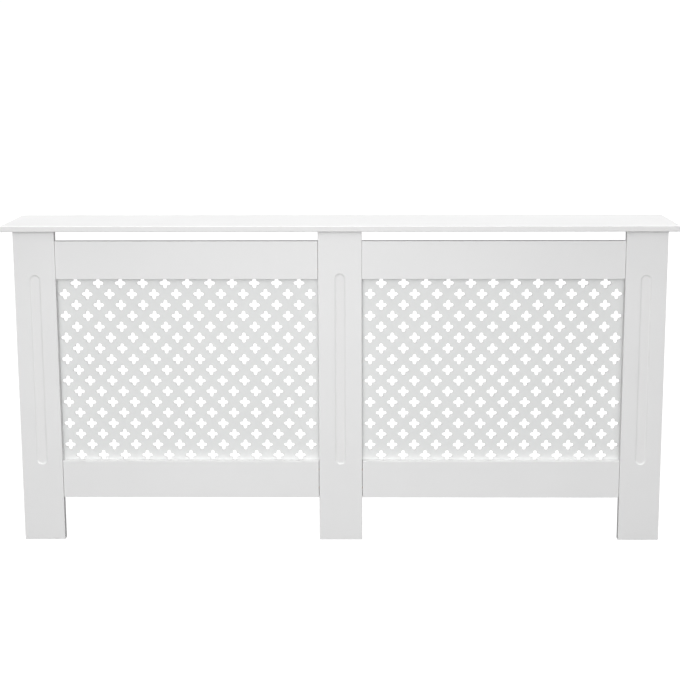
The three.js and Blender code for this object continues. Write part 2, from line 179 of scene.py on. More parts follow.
def plate(b, outline, t, r, seg=3, holes=(), hole_r=None, face_a=(), face_b=(), sides=(), lines=None, wall=0.0):
    """Board of thickness t between w = 0 and w = t, its rims rounded to r.
    outline and holes are loops of (u, v, nu, nv). face_a and face_b are functions
    that cut something into that face and return (ring, 2-D points). sides are
    (outline point, distance, w, radius, depth) for bores in an edge. wall puts the
    edge mask on the whole outer rim face, where the paint then turns darker and rougher, as on the eased corners."""
    rings_a, rings_b, xy = [], [], []
    rims = [outline, *holes]
    for k, loop in enumerate(rims):
        rr = r if k == 0 or hole_r is None else hole_r
        n = seg if k == 0 else 1 if rr < 0.5 else 2
        walls = []
        for face, w0, sign in ((0, 0.0, 1.0), (1, t, -1.0)):
            last = None
            for j in range(n + 1):
                th = math.pi / 2 * j / n
                inset, down = rr * (1 - math.sin(th)), rr * (1 - math.cos(th))
                pts = [(u - nu * inset, v - nv * inset, w0 + sign * down) for u, v, nu, nv in loop]
                nor = [(nu * math.sin(th), nv * math.sin(th), -sign * math.cos(th)) for _, _, nu, nv in loop]
                # edge mask: the eased corners, and with wall also the whole outer rim face, which the paint darkens
                ring = b.ring(pts, nor, max(math.sin(2 * th), wall * math.sin(th)) if k == 0 else 0.5 * math.sin(th), (0.5 if k == 0 else 1.0) * math.sin(th))
                if last is None:
                    (rings_b if face else rings_a).append(ring)
                    if not face:
                        xy.append([(p[0], p[1]) for p in pts])
                else:
                    b.bridge(last, ring)
                last = ring
            walls.append(last)
        top, bottom = walls
        count = len(loop)
        for i in range(count):
            j = (i + 1) % count
            mine = [s for s in sides if k == 0 and s[0] == i]
            if not mine:
                b.faces.append((top[i], top[j], bottom[j], bottom[i]))
                continue
            p = np.array(loop[i][:2])
            d = np.array(loop[j][:2]) - p
            length = float(np.linalg.norm(d))
            d = d / length
            nrm = np.array(loop[i][2:])
            loops, flats = [[top[i], top[j], bottom[j], bottom[i]]], [[(0, rr), (length, rr), (length, t - rr), (0, t - rr)]]
            for _, s, w, radius, depth in mine:
                c = p + d * s
                mouth = b.bore((*c, w), (*-nrm, 0), (*d, 0), (0, 0, 1), radius, depth)
                loops.append(mouth)
                flats.append([(s + (radius + 0.25) * math.cos(2 * math.pi * q / 32), w + (radius + 0.25) * math.sin(2 * math.pi * q / 32)) for q in range(32)])
            b.fill(loops, flats)
    for rings, extra in ((rings_a, face_a), (rings_b, face_b)):
        loops, flats = list(rings), list(xy)
        for make in extra:
            ring, flat = make(b)
            loops.append(ring)
            flats.append(flat)
        more = []
        if lines:
            for i, j in lines:
                more.append((rings[0][i], rings[0][j]))
        b.fill(loops, flats, more)


def face_bore(u, v, w, inward, radius, depth, seg=32):
    def make(b):
        ring = b.bore((u, v, w), (0, 0, inward), (1, 0, 0), (0, 1, 0), radius, depth, seg)
        return ring, [(u + (radius + 0.25) * math.cos(2 * math.pi * q / seg), v + (radius + 0.25) * math.sin(2 * math.pi * q / seg)) for q in range(seg)]
    return make


def flute(u0, v0, v1, ease=1.0, cove=9.47, steep=36.0, ends=28, along=20, fine=8):
    """Shallow channel in the face w = 0: eased rim, coved wall, flat floor and
    half-round ends."""
    steep = math.radians(steep)
    prof = []
    for k in range(5):
        a = steep * k / 4
        prof.append((FLUTE_W / 2 - ease * math.sin(a), ease * (1 - math.cos(a)), -math.sin(a), -math.cos(a), 1.0 if k else 0.0, k / 4))
    rho, down = prof[-1][:2]
    for k in range(1, fine + 1):
        a = steep * (1 - k / fine)
        prof.append((rho - cove * (math.sin(steep) - math.sin(a)), down + cove * (math.cos(a) - math.cos(steep)), -math.sin(a), -math.cos(a), 0.0, 1.0))
    half = FLUTE_W / 2
    top, low = v1 - half, v0 + half
    spine = []
    for k in range(ends + 1):
        spine.append(((u0, top), math.pi * k / ends))
    for k in range(1, along):
        spine.append(((u0, top + (low - top) * k / along), math.pi))
    for k in range(ends + 1):
        spine.append(((u0, low), math.pi + math.pi * k / ends))
    for k in range(1, along):
        spine.append(((u0, low + (top - low) * k / along), 2 * math.pi))

    def make(b):
        first = last = None
        flat = None
        for rho, down, nr, nw, edge, cut in prof:
            pts, nor = [], []
            for (bu, bv), a in spine:
                pts.append((bu + rho * math.cos(a), bv + rho * math.sin(a), down))
                nor.append((nr * math.cos(a), nr * math.sin(a), nw))
            ring = b.ring(pts, nor, edge * 0.8, cut)
            if first is None:
                first, flat = ring, [(p[0], p[1]) for p in pts]
            else:
                b.bridge(last, ring)
            last = ring
        down = prof[-1][1]
        mid = {}
        centre = []
        for (bu, bv), a in spine:
            key = round(bv, 4)
            if key not in mid:
                mid[key] = b.v((bu, bv, down), (0, 0, -1), 0.0, 1.0)
            centre.append(mid[key])
        n = len(last)
        for i in range(n):
            j = (i + 1) % n
            quad = [last[i], last[j], centre[j], centre[i]]
            if centre[i] == centre[j]:
                quad = quad[:3]
            b.faces.append(tuple(quad))
        return first, flat

    return make


def lathe(b, profile, seg=32, ripple=None):
    """Turned solid about w; profile is (radius, w, nr, nw) with no point on the axis,
    closed by flat ends. ripple(angle, radius, w) may change a radius."""
    rings = []
    for r, w, nr, nw in profile:
        pts, nor = [], []
        for k in range(seg):
            a = 2 * math.pi * k / seg
            rr = ripple(a, r, w) if ripple else r
            pts.append((rr * math.cos(a), rr * math.sin(a), w))
            nor.append((nr * math.cos(a), nr * math.sin(a), nw))
        rings.append(b.ring(pts, None if ripple else nor))
    for p, q in zip(rings, rings[1:]):
        b.bridge(p, q)
    b.faces.append(tuple(rings[0]))
    b.faces.append(tuple(rings[-1]))
    return rings


def to_mesh(name, b, keep_normals=True):
    me = bpy.data.meshes.new(name)
    co = np.array(b.co) * MM
    me.from_pydata(co.tolist(), [], [list(f) for f in b.faces])
    bm = bmesh.new()
    bm.from_mesh(me)
    bmesh.ops.recalc_face_normals(bm, faces=bm.faces)
    bm.to_mesh(me)
    bm.free()
    for key, values in (("edge", b.edge), ("cut", b.cut)):
        at = me.attributes.new(key, "FLOAT", "POINT")
        at.data.foreach_set("value", np.array(values, np.float32))
    me.polygons.foreach_set("use_smooth", [True] * len(me.polygons))
    me.update()
    if keep_normals:
        no = np.array(b.no)
        size = np.linalg.norm(no, axis=1)
        lv = np.zeros(len(me.loops), np.int32)
        me.loops.foreach_get("vertex_index", lv)
        tot = np.zeros(len(me.polygons), np.int32)
        me.polygons.foreach_get("loop_total", tot)
        pn = np.zeros(len(me.polygons) * 3)
        me.polygons.foreach_get("normal", pn)
        pn = np.repeat(pn.reshape(-1, 3), tot, axis=0)
        n = no[lv] / np.maximum(size[lv], 1e-9)[:, None]
        use = (size[lv] > 0.5) & ((n * pn).sum(1) > math.cos(math.radians(42)))
        me.normals_split_custom_set(np.where(use[:, None], n, pn).tolist())
    return me


def piece(name, me, material, slot, *nodes):
    o = bpy.data.objects.new(name, me)
    bpy.context.scene.collection.objects.link(o)
    me.materials.clear()
    me.materials.append(material)
    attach(o, "root")
    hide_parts(*nodes)
    return o


def carve(o, cutters):
    """Cuts solids out of a piece and gives it area-weighted normals."""
    tools = []
    for me in cutters:
        c = bpy.data.objects.new("cutter", me)
        bpy.context.scene.collection.objects.link(c)
        m = o.modifiers.new("cut", "BOOLEAN")
        m.operation, m.solver, m.object = "DIFFERENCE", "EXACT", c
        tools.append(c)
    dg = bpy.context.evaluated_depsgraph_get()
    made = bpy.data.meshes.new_from_object(o.evaluated_get(dg), preserve_all_data_layers=True, depsgraph=dg)
    o.modifiers.clear()
    old = o.data
    o.data = made
    bpy.data.meshes.remove(old)
    for c in tools:
        me = c.data
        bpy.data.objects.remove(c)
        bpy.data.meshes.remove(me)
    made.polygons.foreach_set("use_smooth", [True] * len(made.polygons))
    made.set_sharp_from_angle(angle=math.radians(38))
    w = o.modifiers.new("normals", "WEIGHTED_NORMAL")
    w.mode, w.weight, w.keep_sharp = "FACE_AREA", 50, True
    return o


# ------------------------------------------------------------------ materials
class Nodes:
    def __init__(self, material):
        material.use_nodes = True
        self.t = material.node_tree
        self.t.nodes.clear()

    def add(self, kind, **values):
        n = self.t.nodes.new(kind)
        for k, v in values.items():
            setattr(n, k, v)
        return n

    def put(self, socket, value):
        if isinstance(value, bpy.types.NodeSocket):
            self.t.links.new(value, socket)
        else:
            socket.default_value = value

    def math(self, op, a, b=0.0, c=0.0, clamp=False):
        n = self.add("ShaderNodeMath", operation=op, use_clamp=clamp)
        for s, x in zip(n.inputs, (a, b, c)):
            self.put(s, x)
        return n.outputs[0]

    def noise(self, vec, scale, detail=2.0, rough=0.5, distortion=0.0):
        n = self.add("ShaderNodeTexNoise")
        self.put(n.inputs["Vector"], vec)
        n.inputs["Scale"].default_value = scale
        n.inputs["Detail"].default_value = detail
        n.inputs["Roughness"].default_value = rough
        n.inputs["Distortion"].default_value = distortion
        return n.outputs["Fac"]

    def cells(self, vec, scale, randomness=1.0):
        n = self.add("ShaderNodeTexVoronoi", feature="F1")
        self.put(n.inputs["Vector"], vec)
        n.inputs["Scale"].default_value = scale
        n.inputs["Randomness"].default_value = randomness
        return n.outputs["Distance"]

    def remap(self, x, a, b, c=0.0, d=1.0):
        n = self.add("ShaderNodeMapRange", clamp=True)
        self.put(n.inputs["Value"], x)
        for key, value in (("From Min", a), ("From Max", b), ("To Min", c), ("To Max", d)):
            self.put(n.inputs[key], value)
        return n.outputs["Result"]

    def mix(self, fac, a, b):
        n = self.add("ShaderNodeMix", data_type="RGBA")
        self.put(n.inputs[0], fac)
        self.put(n.inputs[6], a)
        self.put(n.inputs[7], b)
        return n.outputs[2]

    def object_space(self, scale=(1, 1, 1)):
        c = self.add("ShaderNodeTexCoord")
        m = self.add("ShaderNodeMapping")
        self.put(m.inputs["Vector"], c.outputs["Object"])
        m.inputs["Scale"].default_value = scale
        return m.outputs["Vector"]

    def parts(self, vec):
        n = self.add("ShaderNodeSeparateXYZ")
        self.put(n.inputs[0], vec)
        return n.outputs[0], n.outputs[1], n.outputs[2]

    def mask(self, name):
        return self.add("ShaderNodeAttribute", attribute_name=name).outputs["Fac"]

    def finish(self, color, rough, height, metallic=0.0, ior=1.5, spec=0.5, coat=None):
        s = self.add("ShaderNodeBsdfPrincipled")
        out = self.add("ShaderNodeOutputMaterial")
        self.put(s.inputs["Base Color"], color)
        self.put(s.inputs["Roughness"], rough)
        s.inputs["Metallic"].default_value = metallic
        s.inputs["IOR"].default_value = ior
        s.inputs["Specular IOR Level"].default_value = spec
        if coat:
            s.inputs["Coat Weight"].default_value = coat[0]
            s.inputs["Coat Roughness"].default_value = coat[1]
        bump = self.add("ShaderNodeBump")
        bump.inputs["Strength"].default_value = 1.0
        bump.inputs["Distance"].default_value = 0.001
        self.put(bump.inputs["Height"], height)
        self.put(s.inputs["Normal"], bump.outputs["Normal"])
        self.put(out.inputs["Surface"], s.outputs["BSDF"])


def grey(v, warm=0.0, cool=0.0):
    return (v * (1 + warm), v, v * (1 - warm + cool), 1.0)


def paint(name, light, dark, worn, rough, peel):
    """Sprayed satin paint on fibreboard. Height is in millimetres."""
    m = bpy.data.materials.new(name)
    g = Nodes(m)
    p = g.object_space()
    _, y, z = g.parts(p)
    edge, cut = g.mask("edge"), g.mask("cut")
    # cloudy film build-up, broad and fine
    cloud = g.remap(g.noise(p, 6.0, 4.0, 0.55), 0.34, 0.66)
    fleck = g.remap(g.noise(p, 210.0, 3.0, 0.6), 0.3, 0.7)
    tone = g.math("ADD", g.math("MULTIPLY", cloud, 0.72), g.math("MULTIPLY", fleck, 0.28))
    color = g.mix(tone, dark, light)
    # thin paint over the eased corners and the machined fibre; where plate's wall is set (the shelf), the whole outer
    # rim face is darkened the same way
    rub = g.remap(g.noise(p, 85.0, 5.0, 0.68), 0.40, 0.62)
    thin = g.math("MULTIPLY", edge, g.math("MULTIPLY_ADD", rub, 0.55, 0.35), clamp=True)
    color = g.mix(thin, color, worn)
    fibre = g.remap(g.noise(g.object_space((1.0, 1.0, 0.22)), 1500.0, 4.0, 0.65), 0.3, 0.7)
    color = g.mix(g.math("MULTIPLY", cut, g.math("MULTIPLY_ADD", fibre, 0.22, 0.10)), color, worn)
    # scuffs at the foot
    low = g.remap(z, 0.0, 0.055, 1.0, 0.0)
    scuff = g.remap(g.noise(g.object_space((1.0, 1.0, 2.6)), 46.0, 6.0, 0.7), 0.50, 0.72)
    color = g.mix(g.math("MULTIPLY", g.math("MULTIPLY", low, scuff), 0.55), color, worn)
    # satin film: gloss varies with the film and falls on the cut fibre
    r = g.math("MULTIPLY_ADD", cloud, 0.05, rough)
    r = g.math("ADD", r, g.math("MULTIPLY", g.remap(g.noise(p, 640.0, 2.0, 0.5), 0.3, 0.7), 0.04))
    r = g.math("ADD", r, g.math("MULTIPLY", thin, 0.14))
    r = g.math("ADD", r, g.math("MULTIPLY", cut, 0.10))
    # orange peel, board waviness, dust nibs and raised fibre
    h = g.math("MULTIPLY", g.noise(p, 330.0, 2.0, 0.45), peel)
    h = g.math("MULTIPLY_ADD", g.noise(p, 36.0, 2.0, 0.5), 0.05, h)
    h = g.math("MULTIPLY_ADD", g.noise(p, 1900.0, 2.0, 0.5), 0.0028, h)
    nib = g.remap(g.cells(p, 38.0), 0.0, 0.014, 0.03, 0.0)
    h = g.math("ADD", h, nib)
    h = g.math("ADD", h, g.math("MULTIPLY", g.math("MULTIPLY", fibre, cut), 0.018))
    h = g.math("ADD", h, g.math("MULTIPLY", g.math("MULTIPLY", rub, edge), 0.02))
    g.finish(color, r, h, spec=0.45)
    return m


def beech(name):
    m = bpy.data.materials.new(name)
    g = Nodes(m)
    p = g.object_space((0.06, 1.0, 1.0))
    q = g.object_space((0.16, 1.0, 1.0))
    grain = g.remap(g.noise(p, 620.0, 5.0, 0.6, 0.4), 0.32, 0.68)
    color = g.mix(grain, (0.46, 0.27, 0.13, 1), (0.68, 0.47, 0.27, 1))
    ray = g.remap(g.noise(q, 1500.0, 2.0, 0.5), 0.60, 0.70)
    color = g.mix(g.math("MULTIPLY", ray, 0.55), color, (0.30, 0.16, 0.07, 1))
    pore = g.remap(g.cells(p, 1900.0), 0.0, 0.30, 1.0, 0.0)
    color = g.mix(g.math("MULTIPLY", pore, 0.35), color, (0.25, 0.13, 0.06, 1))
    rough = g.math("MULTIPLY_ADD", grain, 0.12, 0.58)
    h = g.math("MULTIPLY", grain, 0.03)
    h = g.math("MULTIPLY_ADD", pore, -0.03, h)
    g.finish(color, rough, h, spec=0.3)
    return m


def zinc(name):
    m = bpy.data.materials.new(name)
    g = Nodes(m)
    p = g.object_space()
    cast = g.remap(g.noise(p, 900.0, 4.0, 0.6), 0.3, 0.7)
    broad = g.remap(g.noise(p, 120.0, 3.0, 0.5), 0.35, 0.65)
    color = g.mix(broad, (0.47, 0.48, 0.50, 1), (0.60, 0.61, 0.63, 1))
    color = g.mix(g.math("MULTIPLY", cast, 0.35), color, (0.40, 0.41, 0.43, 1))
    rough = g.math("MULTIPLY_ADD", cast, 0.14, 0.36)
    h = g.math("MULTIPLY", cast, 0.02)
    g.finish(color, rough, h, metallic=1.0)
    return m


def steel(name, along):
    m = bpy.data.materials.new(name)
    g = Nodes(m)
    p = g.object_space()
    s = g.object_space(along)
    streak = g.remap(g.noise(s, 1400.0, 3.0, 0.55), 0.3, 0.7)
    film = g.remap(g.noise(p, 75.0, 3.0, 0.55), 0.35, 0.65)
    color = g.mix(film, (0.60, 0.62, 0.66, 1), (0.70, 0.70, 0.69, 1))
    stain = g.remap(g.noise(p, 260.0, 3.0, 0.6), 0.58, 0.74)
    color = g.mix(g.math("MULTIPLY", stain, 0.30), color, (0.58, 0.55, 0.46, 1))
    rough = g.math("ADD", g.math("MULTIPLY_ADD", streak, 0.10, 0.22), g.math("MULTIPLY", stain, 0.10))
    h = g.math("MULTIPLY", streak, 0.008)
    g.finish(color, rough, h, metallic=1.0)
    return m


BOARD_PAINT = paint("board_paint", grey(0.795), grey(0.780), grey(0.752, 0.006), 0.36, 0.026)
SCREEN_PAINT = paint("screen_paint", (0.760, 0.768, 0.764, 1), (0.744, 0.752, 0.748, 1), grey(0.72, 0.004), 0.42, 0.020)
BEECH = beech("beech")
ZINC = zinc("zinc_casting")
STEEL = steel("plated_steel", (0.05, 1.0, 1.0))
STEEL_TURNED = steel("plated_steel_turned", (1.0, 1.0, 1.0))

# ---------------------------------------------------------------- shelf, legs
XYZ = np.eye(3)
FRONT = np.array([[1, 0, 0], [0, 0, 1], [0, 1, 0]], float)  # u -> X, v -> Z, w -> Y


def rectangle(x0, y0, x1, y1, radius, n=3):
    return rounded([(x0, y0), (x1, y0), (x1, y1), (x0, y1)], radius, n)


b = Build(XYZ, (0, 0, Z_SHELF))
under = []
for s in (-1, 1):
    for y in SHELF_CAM_Y:
        under.append(face_bore(s * X_BOLT, y, 0, 1, 2.8, 11.6))
    under.append(face_bore(s * WALL_BRACKET_X, Y_WALL - BRACKET_HOLE, 0, 1, 1.9, 11.6, 20))
under.append(face_bore(0, Y_LEG_BACK + BRACKET_HOLE, 0, 1, 1.9, 11.6, 20))
# wall=0.7: the shelf's whole outer rim face is darkened a little with the paint's worn colour
plate(b, rectangle(-WIDTH / 2, Y_SHELF, WIDTH / 2, Y_WALL, 2.6, 5), BOARD, 1.9, 5, face_a=under, wall=0.7)
piece("shelf_board", to_mesh("shelf_board", b), BOARD_PAINT, "painted_board", "top_shelf")


def leg(name, node, x, width, top, edges, back):
    b = Build(FRONT, (x, Y_LEG, 0))
    # outline: foot left, foot right, head right, head left; 4 points at each corner
    out = rectangle(-width / 2, 0, width / 2, Z_SHELF, 1.3)
    sides = []
    for z in RAIL_DOWEL_Z:
        if 1 in edges:  # right edge runs from point 7 to point 8, upwards
            sides.append((7, z - out[7][1], DOWEL_Y - Y_LEG, 3.2, 15.0))
        if -1 in edges:  # left edge runs from point 15 to point 0, downwards
            sides.append((15, out[15][1] - z, DOWEL_Y - Y_LEG, 3.2, 15.0))
    plate(b, out, BOARD, 1.2, 4, face_a=[flute(0, FLUTE_Z0, top)], face_b=back, sides=sides)
    return piece(name, to_mesh(name, b), BOARD_PAINT, "painted_board", node)


for side, s in (("left", -1), ("right", 1)):
    x = s * (X_OUT - 53)
    leg(f"leg_{side}_board", f"end_leg_{side}", x, 106.0, FLUTE_TOP_END, [-s],
        [face_bore(s * X_BOLT - x, z, BOARD, -1, 2.8, 11.6) for z in SIDE_CAM_Z])
leg("leg_centre_board", "centre_leg", 0.0, 112.0, FLUTE_TOP_CENTRE, [-1, 1],
    [face_bore(0, Z_SHELF - BRACKET_HOLE, BOARD, -1, 1.9, 11.6, 20)])


def rail(name, node, x, z0, screw_z, gap_l, gap_r):
    """gap_l and gap_r are how far the joints between the rail's ends and the legs
    stand open at the face; they close towards the back."""
    b = Build(FRONT, (x, Y_RAIL, z0))
    out = rectangle(-RAIL_L / 2, 0, RAIL_L / 2, RAIL_H, 0.8)
    sides = []
    for z in (25.0, RAIL_H - 25.0):
        sides.append((7, z - out[7][1], DOWEL_Y - Y_RAIL, 3.2, 15.0))
        sides.append((15, out[15][1] - z, DOWEL_Y - Y_RAIL, 3.2, 15.0))
    plate(b, out, BOARD, 0.7, 4, sides=sides,
          face_b=[face_bore(s * SCREW_X, screw_z, BOARD, -1, 1.9, 9.6, 20) for s in (-1, 1)])
    for p in b.co:
        u, open_at = p[0] - x, 1 - (p[1] - Y_RAIL) / BOARD
        if u < -RAIL_L / 2 + 3:
            p[0] += gap_l * open_at
        elif u > RAIL_L / 2 - 3:
            p[0] -= gap_r * open_at
    return piece(name, to_mesh(name, b), BOARD_PAINT, "painted_board", node)


for side, s in (("left", -1), ("right", 1)):
    rail(f"rail_top_{side}_board", f"top_rail_{side}", s * X_RAIL, TOP_RAIL_Z, 15.0,
         *((0.1, 0.8) if s < 0 else (0.2, 0.35)))
    rail(f"rail_bottom_{side}_board", f"bottom_rail_{side}", s * X_RAIL, BOTTOM_RAIL_Z, RAIL_H - 15.0,
         *((0.4, 1.3) if s < 0 else (1.2, 0.45)))

# -------------------------------------------------------------- side panels
def cylinder_mesh(centre, axis, radius, length, seg=64):
    w = np.array(axis, float)
    u = np.array([0, 1, 0] if abs(w[0]) > 0.5 else [1, 0, 0], float)
    b = Build(np.array([u, np.cross(w, u), w]), centre)
    lathe(b, [(radius, 0, 1, 0), (radius, length, 1, 0)], seg)
    return to_mesh("cutter", b, False)


for side, s in (("left", -1), ("right", 1)):
    # u -> Y, v -> Z, w -> X from the left face of the board to its right face
    x0 = X_SIDE if s > 0 else -X_OUT
    b = Build(np.array([[0, 1, 0], [0, 0, 1], [1, 0, 0]], float), (x0, 0, 0))
    outline = rounded([(Y_LEG_BACK, 0), (75.0, 0), (75.0, 120.0), (Y_WALL, 120.0), (Y_WALL, Z_SHELF), (Y_LEG_BACK, Z_SHELF)], 1.0)
    plate(b, outline, BOARD, 0.9, 3)
    o = piece(f"side_{side}_board", to_mesh(f"side_{side}_board", b, False), BOARD_PAINT, "painted_board", f"side_panel_{side}")
    cutters = []
    for y in SHELF_CAM_Y:
        cutters.append(cylinder_mesh((s * (X_SIDE - 1), y, Z_SHELF - CAM_SETBACK), (s, 0, 0), 7.5, 13.0))
        cutters.append(cylinder_mesh((s * X_BOLT, y, Z_SHELF - CAM_SETBACK), (0, 0, 1), 4.0, CAM_SETBACK + 1, 40))
    for z in SIDE_CAM_Z:
        cutters.append(cylinder_mesh((s * (X_SIDE - 1), Y_LEG_BACK + CAM_SETBACK, z), (s, 0, 0), 7.5, 13.0))
        cutters.append(cylinder_mesh((s * X_BOLT, Y_LEG_BACK + CAM_SETBACK, z), (0, -1, 0), 4.0, CAM_SETBACK + 1, 40))
    carve(o, cutters)


# -------------------------------------------------------------------- screens
def cross(cx, cz, lobe=8, notch=3):
    """Four round-ended arms; the normals point into the opening."""
    pts = []
    reach = CROSS_TIP - ARM
    for q in range(4):
        c, s = math.cos(math.pi / 2 * q), math.sin(math.pi / 2 * q)
        arm = []
        for k in range(lobe + 1):
            a = -math.pi / 2 + math.pi * k / lobe
            arm.append((reach + ARM * math.cos(a), ARM * math.sin(a), -math.cos(a), -math.sin(a)))
        # arc at the inner corner between this arm and the next
        f = 2.0
        for k in range(notch + 1):
            a = -math.pi / 2 - math.pi / 2 * k / notch
            dx, dy = math.cos(a), math.sin(a)
            arm.append((ARM + f + f * dx, ARM + f + f * dy, dx, dy))
        for x, y, nx, ny in arm:
            pts.append((cx + c * x - s * y, cz + s * x + c * y, c * nx - s * ny, s * nx + c * ny))
    return pts[::-1]


def round_hole(cx, cz, radius, n=20):
    return [(cx + radius * math.cos(-2 * math.pi * k / n), cz + radius * math.sin(-2 * math.pi * k / n),
             -math.cos(-2 * math.pi * k / n), -math.sin(-2 * math.pi * k / n)) for k in range(n)]


for side, s in (("left", -1), ("right", 1)):
    b = Build(FRONT, (0, Y_RAIL_BACK, 0))
    x0, x1 = (SCREEN_X0, SCREEN_X1) if s > 0 else (-SCREEN_X1, -SCREEN_X0)
    holes = []
    for row in range(17):
        n = 12 if row % 2 else 11
        for k in range(n):
            holes.append(cross(s * LATTICE_X + (k - (n - 1) / 2) * 2 * HALF_PITCH, LATTICE_Z + (8 - row) * HALF_PITCH))
    for dx in (-SCREW_X, SCREW_X):
        for z in SCREW_Z:
            holes.append(round_hole(s * X_RAIL + dx, z, 2.2))
    plate(b, rectangle(x0, SCREEN_Z0, x1, SCREEN_Z1, 1.0), SCREEN_T, 0.5, 3, holes=holes, hole_r=0.32)
    piece(f"screen_{side}_panel", to_mesh(f"screen_{side}_panel", b), SCREEN_PAINT, "screen_board", f"screen_{side}")


# ------------------------------------------------------------------- fittings
def frame_for(direction):
    w = np.array(direction, float)
    u = np.array([1, 0, 0] if abs(w[0]) < 0.5 else [0, 1, 0], float)
    return np.array([u, np.cross(w, u), w])


# beech dowels, grooved along their length and chamfered
def dowel(name, node, x, z):
    b = Build(frame_for((1, 0, 0)), (x, DOWEL_Y, z))
    grooves, h = 18, DOWEL_L / 2
    def ripple(a, r, w):
        phase = (a * grooves / (2 * math.pi)) % 1.0
        dip = max(0.0, 1 - abs(phase - 0.5) / 0.26)
        return r - (0.24 * dip if abs(w) < h - 0.9 else 0.0)
    prof = [(DOWEL_R - 0.75, -h, 0, 0), (DOWEL_R - 0.1, -h + 0.85, 0, 0), (DOWEL_R, -h + 1.1, 0, 0), (DOWEL_R, -h + 1.4, 0, 0),
            (DOWEL_R, h - 1.4, 0, 0), (DOWEL_R, h - 1.1, 0, 0), (DOWEL_R - 0.1, h - 0.85, 0, 0), (DOWEL_R - 0.75, h, 0, 0)]
    lathe(b, prof, grooves * 4, ripple)
    me = to_mesh(name, b, False)
    me.set_sharp_from_angle(angle=math.radians(30))
    return piece(name, me, BEECH, "beech_dowel", node)


for side, s in (("left", -1), ("right", 1)):
    for end, x in (("outer", X_LEG), ("inner", X_MID)):
        for z, where in zip(RAIL_DOWEL_Z, ("bottom_rail_a", "bottom_rail_b", "top_rail_a", "top_rail_b")):
            dowel(f"pin_{side}_{end}_{where}", f"dowel_{side}_{end}_{where}", s * x, z)


# turned and threaded pieces, about w from the joint face (w = 0) to the tip (+w)
def thread(r_crest, r_root, pitch, w0, w1, taper):
    def radius(a, r, w):
        if not (w0 < w < w1):
            return r
        phase = ((w - w0) / pitch - a / (2 * math.pi)) % 1.0
        ridge = max(0.0, 1 - abs(phase - 0.5) / 0.34)
        env = min(1.0, (w - w0) / (0.5 * pitch), (w1 - w) / taper)
        core = r_root * min(1.0, 0.35 + 0.65 * (w1 - w) / taper) if taper > 2 else r_root
        return core + (r_crest - r_root) * ridge * max(0.0, env)
    return radius


def turned(name, node, at, direction, profile, radius, slot, material, seg=36, cutters=()):
    b = Build(frame_for(direction), at)
    lathe(b, [(r, w, 0, 0) for r, w in profile], seg, radius)
    me = to_mesh(name, b, False)
    me.set_sharp_from_angle(angle=math.radians(36))
    o = piece(name, me, material, slot, node)
    if cutters:
        carve(o, cutters)
    return o


def spaced(a, b, n):
    return [a + (b - a) * k / n for k in range(n + 1)]


def cross_cutter(at, direction, half_long, half_wide, depth, taper=0.55):
    """Tapered cross, its mouth just proud of w = 0 and its point at w = depth."""
    b = Build(frame_for(direction), at)
    def outline(k, a, c):
        pts = [(a, -c), (a, c), (c, c), (c, a), (-c, a), (-c, c), (-a, c), (-a, -c), (-c, -c), (-c, -a), (c, -a), (c, -c)]
        return [(x, y, k) for x, y in pts]
    top = b.ring(outline(-0.6, half_long * 1.05, half_wide * 1.05))
    low = b.ring(outline(depth, half_long * taper, half_wide * 0.62))
    b.bridge(top, low)
    b.faces.append(tuple(top))
    b.faces.append(tuple(low))
    return to_mesh("cutter", b, False)


SCREW_TIP = 12.0
screw_profile = ([(0.9, -2.0), (1.9, -1.93)] + [(2.55, -1.72), (3.05, -1.32), (3.32, -0.8), (3.4, -0.3), (3.36, 0.0), (1.6, 0.0)]
                 + [(1.25, 0.25)] + [(1.25, w) for w in spaced(0.5, SCREW_TIP - 0.4, 52)] + [(0.12, SCREW_TIP)])
screw_thread = thread(1.6, 1.08, 1.55, 0.9, SCREW_TIP - 0.2, 3.2)


def screw(name, node, at, direction):
    d = np.array(direction, float)
    head = np.array(at, float) - d * 2.0
    return turned(name, node, at, direction, screw_profile, screw_thread, "plated_steel", STEEL_TURNED, 28,
                  [cross_cutter(head, direction, 1.75, 0.42, 1.35)])


for side, s in (("left", -1), ("right", 1)):
    for row, z in zip(("bottom", "top"), SCREW_Z):
        for end, x in (("inner", -s * SCREW_X), ("outer", s * SCREW_X)):
            screw(f"screw_{side}_{row}_{end}", f"screen_screw_{side}_{row}_{end}", (s * X_RAIL + x, Y_SCREEN_BACK, z), (0, -1, 0))

bolt_profile = ([(1.5, -25.5), (2.6, -25.1), (3.05, -24.5), (3.2, -23.6), (3.2, -22.4), (2.9, -21.6), (2.0, -20.4)]
                + [(2.0, w) for w in spaced(-19.5, -3.2, 4)] + [(2.1, -2.7), (3.45, -2.5), (3.6, -2.3), (3.6, -0.25), (3.45, 0.0), (2.5, 0.0)]
                + [(1.75, w) for w in spaced(0.25, 10.4, 42)] + [(1.2, 11.0)])
bolt_thread = thread(2.5, 1.75, 2.4, 0.2, 10.6, 1.6)


def cam_bolt(name, node, at, direction):
    return turned(name, node, at, direction, bolt_profile, bolt_thread, "plated_steel", STEEL_TURNED, 32)


def block_mesh(lo, hi):
    b = Build()
    c = [b.v((x, y, z)) for x in (lo[0], hi[0]) for y in (lo[1], hi[1]) for z in (lo[2], hi[2])]
    for f in ((0, 1, 3, 2), (4, 6, 7, 5), (0, 4, 5, 1), (2, 3, 7, 6), (0, 2, 6, 4), (1, 5, 7, 3)):
        b.faces.append(tuple(c[i] for i in f))
    return to_mesh("cutter", b, False)


